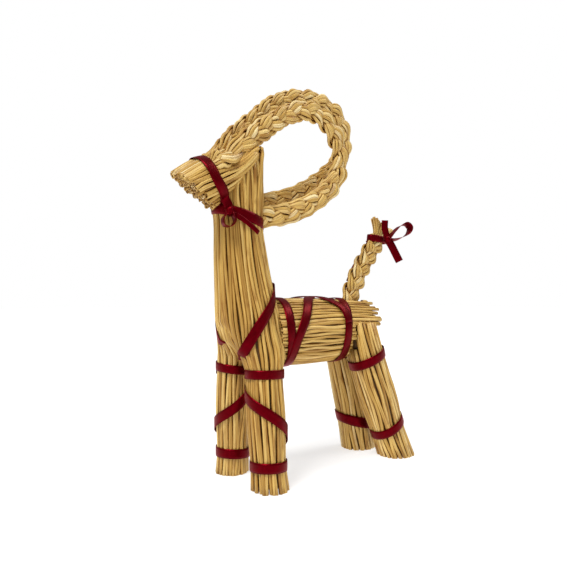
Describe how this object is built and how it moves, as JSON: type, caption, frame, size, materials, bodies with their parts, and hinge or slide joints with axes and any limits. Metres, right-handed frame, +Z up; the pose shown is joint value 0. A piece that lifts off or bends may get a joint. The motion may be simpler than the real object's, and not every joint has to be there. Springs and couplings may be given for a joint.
{
  "type": "straw ornament",
  "caption": "Standing goat of bundled straw bound with satin ribbon, with long plaited horns looping back to its neck and a short plaited tail tied in a bow.",
  "frame": {"origin": "on the surface the goat stands on, below the middle of its outer box", "axes": "+Z up, +Y from the goat's head towards its tail, +X towards the goat's left side"},
  "size_m": [0.0764, 0.2138, 0.3003],
  "materials": {
    "straw": "dry straw with a soft sheen",
    "ribbon": "satin"
  },
  "bodies": {
    "root": {"front_bundle": "straw", "body_bundle": "straw", "rear_left_leg": "straw", "rear_right_leg": "straw", "left_horn_plait": "straw", "right_horn_plait": "straw", "tail_plait": "straw", "head_ribbon": "ribbon", "chest_ribbon": "ribbon", "front_left_leg_ribbon": "ribbon", "front_right_leg_ribbon": "ribbon", "rear_left_upper_ribbon": "ribbon", "rear_left_lower_ribbon": "ribbon", "rear_right_upper_ribbon": "ribbon", "rear_right_lower_ribbon": "ribbon", "body_ribbon": "ribbon", "tail_ribbon": "ribbon"}
  },
  "joints": []
}
